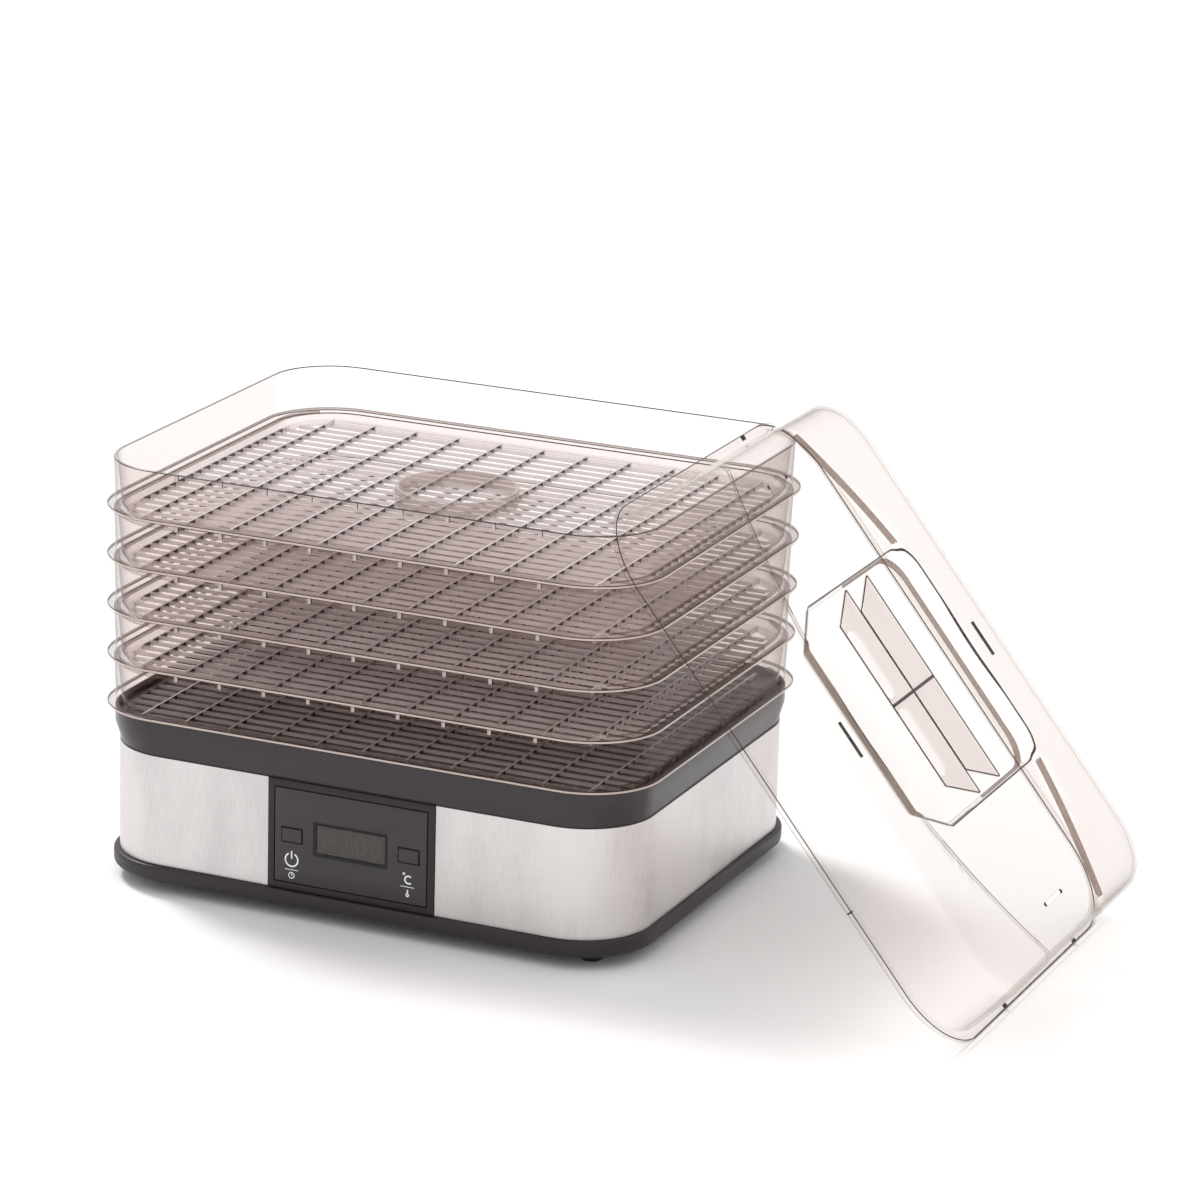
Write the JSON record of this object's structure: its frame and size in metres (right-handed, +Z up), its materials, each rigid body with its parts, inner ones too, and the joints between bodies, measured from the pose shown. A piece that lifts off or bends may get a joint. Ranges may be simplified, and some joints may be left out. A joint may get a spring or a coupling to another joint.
{
  "type": "food dehydrator",
  "caption": "Rectangular food dehydrator: steel-banded fan-heater base with a front panel, a stack of clear slatted trays, and a clear lid leaning beside it.",
  "frame": {"origin": "bottom centre of the box around the stack and the leaning lid, on the ground", "axes": "+Z up, -Y is the front with the control panel, +X is the side that the lid leans on"},
  "size_m": [0.558, 0.3008, 0.28],
  "materials": {
    "clear_smoke": "clear moulded plastic with a warm smoke tint",
    "black_plastic": "satin moulded plastic",
    "gloss_black": "polished moulded plastic",
    "panel_black": "fine satin plastic",
    "button_black": "fine satin plastic",
    "display_window": "dark tinted clear plastic",
    "dark_plastic": "moulded plastic",
    "board_green": "lacquered circuit board",
    "stainless": "stainless sheet brushed along its height",
    "sheet_steel": "plain zinc-coated sheet",
    "screw_steel": "plated steel",
    "dark_metal": "painted motor can",
    "fan_metal": "pressed aluminium",
    "heater_metal": "oxidised heater sheath",
    "mica": "pressed mica sheet",
    "ceramic": "glazed ceramic",
    "rubber": "moulded rubber"
  },
  "bodies": {
    "base": {"base_tray": "black_plastic", "foot_1": "rubber", "foot_2": "rubber", "foot_3": "rubber", "foot_4": "rubber", "base_screw_1": "screw_steel", "base_screw_2": "screw_steel", "base_screw_3": "screw_steel", "base_screw_4": "screw_steel", "steel_band": "stainless", "upper_housing": "gloss_black", "air_grille": "black_plastic", "intake_grille": "black_plastic", "power_inlet": "black_plastic", "control_panel": "panel_black", "display_window": "display_window", "display_module": "dark_plastic", "control_board": "board_green", "motor_bracket": "sheet_steel", "bracket_screw_1": "screw_steel", "bracket_screw_2": "screw_steel", "fan_motor": "dark_metal", "air_duct": "sheet_steel", "heater_frame": "mica", "heater_ring": "heater_metal", "thermostat": "sheet_steel", "thermal_fuse": "ceramic"},
    "fan": {"fan_shaft": "sheet_steel", "fan_blades": "fan_metal"},
    "time_button": {"time_button": "button_black"},
    "temp_button": {"temp_button": "button_black"},
    "tray_1": {"tray_1": "clear_smoke"},
    "tray_2": {"tray_2": "clear_smoke"},
    "tray_3": {"tray_3": "clear_smoke"},
    "tray_4": {"tray_4": "clear_smoke"},
    "tray_5": {"tray_5": "clear_smoke"},
    "lid": {"lid": "clear_smoke"},
    "vent_shutter": {"vent_shutter": "clear_smoke"}
  },
  "joints": [
    {"name": "fan_spin", "type": "hinge", "parent": "base", "child": "fan", "pos_m": [-0.11021, 0.01165, 0.06], "axis": [0, 0, 1], "continuous": true},
    {"name": "time_press", "type": "slide", "parent": "base", "child": "time_button", "axis": [0, 1, 0], "range_m": [0, 0.0008], "stiffness_N_per_m": 500, "springref_m": -0.001},
    {"name": "temp_press", "type": "slide", "parent": "base", "child": "temp_button", "axis": [0, 1, 0], "range_m": [0, 0.0008], "stiffness_N_per_m": 500, "springref_m": -0.001},
    {"name": "tray_1_lift", "type": "slide", "parent": "base", "child": "tray_1", "axis": [0, 0, 1], "range_m": [0, 0.045]},
    {"name": "tray_2_lift", "type": "slide", "parent": "tray_1", "child": "tray_2", "axis": [0, 0, 1], "range_m": [0, 0.045]},
    {"name": "tray_3_lift", "type": "slide", "parent": "tray_2", "child": "tray_3", "axis": [0, 0, 1], "range_m": [0, 0.045]},
    {"name": "tray_4_lift", "type": "slide", "parent": "tray_3", "child": "tray_4", "axis": [0, 0, 1], "range_m": [0, 0.045]},
    {"name": "tray_5_lift", "type": "slide", "parent": "tray_4", "child": "tray_5", "axis": [0, 0, 1], "range_m": [0, 0.045]},
    {"name": "lid_lift", "type": "slide", "parent": "tray_5", "child": "lid", "axis": [0.7794, 0, 0.6266], "range_m": [0, 0.12]},
    {"name": "vent_slide", "type": "slide", "parent": "lid", "child": "vent_shutter", "axis": [0, 1, 0], "range_m": [0, 0.02]}
  ]
}
